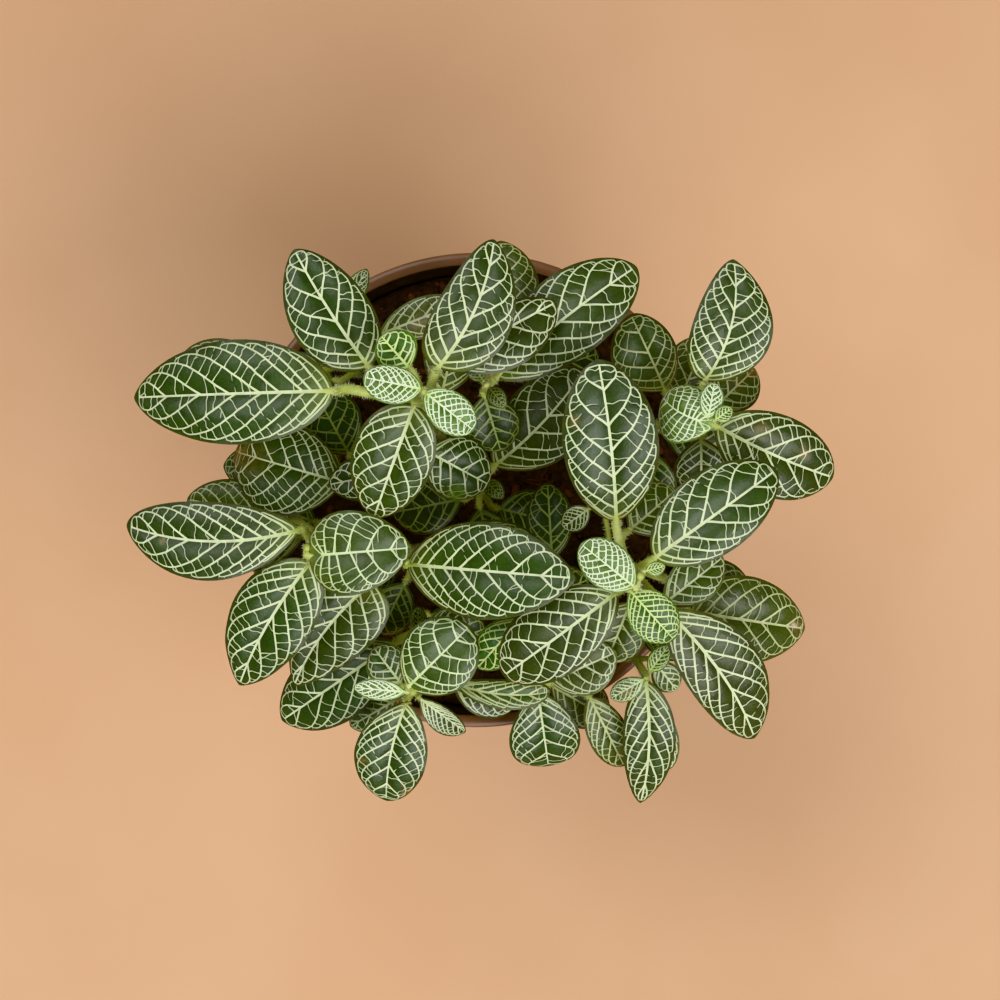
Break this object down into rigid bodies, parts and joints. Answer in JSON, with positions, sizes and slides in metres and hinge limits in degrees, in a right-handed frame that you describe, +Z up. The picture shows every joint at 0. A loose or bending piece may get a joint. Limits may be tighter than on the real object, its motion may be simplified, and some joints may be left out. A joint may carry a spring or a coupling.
{
  "type": "potted nerve plant",
  "caption": "Small bushy houseplant in a round tapered nursery pot, its oval dark green leaves netted with pale veins.",
  "frame": {"origin": "centre of the pot's flat underside, on the surface it stands on", "axes": "+Z up along the pot's axis, +X to the right and +Y to the top of the picture, which looks straight down"},
  "size_m": [0.1475, 0.121, 0.1532],
  "materials": {
    "pot": "satin brown moulded polypropylene",
    "soil": "rough moist coco peat",
    "plant": "satin leaf with pale veins, hairy stems"
  },
  "bodies": {
    "root": {"pot": "pot", "soil": "soil", "stem_tall": "plant", "stem_back": "plant", "stem_middle": "plant", "stem_left_inner": "plant", "stem_back_left": "plant", "stem_right": "plant", "stem_far_right": "plant", "stem_left": "plant", "stem_centre": "plant", "stem_front_left_inner": "plant", "stem_front_left": "plant", "stem_front_inner": "plant", "stem_front": "plant", "stem_front_right": "plant"}
  },
  "joints": []
}
